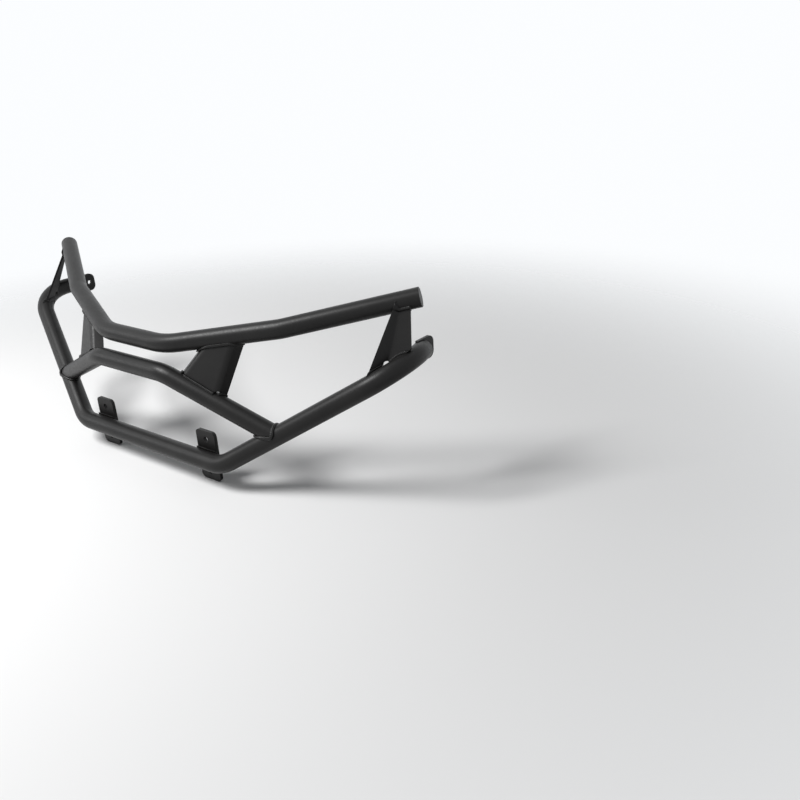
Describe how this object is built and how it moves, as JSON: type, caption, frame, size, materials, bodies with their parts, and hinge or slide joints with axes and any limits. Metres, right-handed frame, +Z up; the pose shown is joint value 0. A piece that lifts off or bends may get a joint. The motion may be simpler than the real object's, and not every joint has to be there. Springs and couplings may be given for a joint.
{
  "type": "atv front bumper",
  "caption": "Tubular front bumper for an ATV: bent black steel tubes welded together, with folded sheet gussets and plates that bolt to the frame.",
  "frame": {"origin": "centre of the four frame bolts, on the rear face of the mounting plates, level with the lower tube", "axes": "+X across the bumper to the machine's left, +Y to the rear, along the frame bolts, +Z up; the bumper's front faces -Y"},
  "size_m": [0.9642, 0.2643, 0.331],
  "materials": {
    "black_powder_coat": "satin black powder coat with a fine texture",
    "black_plastic": "matt black moulded plastic"
  },
  "bodies": {
    "root": {"centre_tube": "black_powder_coat", "cope_weld_left": "black_powder_coat", "cope_weld_right": "black_powder_coat", "end_cap_left": "black_plastic", "end_cap_right": "black_plastic", "end_gusset_left": "black_powder_coat", "end_gusset_right": "black_powder_coat", "end_gusset_weld_left": "black_powder_coat", "end_gusset_weld_right": "black_powder_coat", "lower_hoop": "black_powder_coat", "middle_gusset_left": "black_powder_coat", "middle_gusset_right": "black_powder_coat", "middle_gusset_weld_left": "black_powder_coat", "middle_gusset_weld_right": "black_powder_coat", "mounting_plate_left": "black_powder_coat", "mounting_plate_right": "black_powder_coat", "plate_weld_left": "black_powder_coat", "plate_weld_right": "black_powder_coat", "rear_ear_left": "black_powder_coat", "rear_ear_right": "black_powder_coat", "upper_tube": "black_powder_coat"}
  },
  "joints": []
}
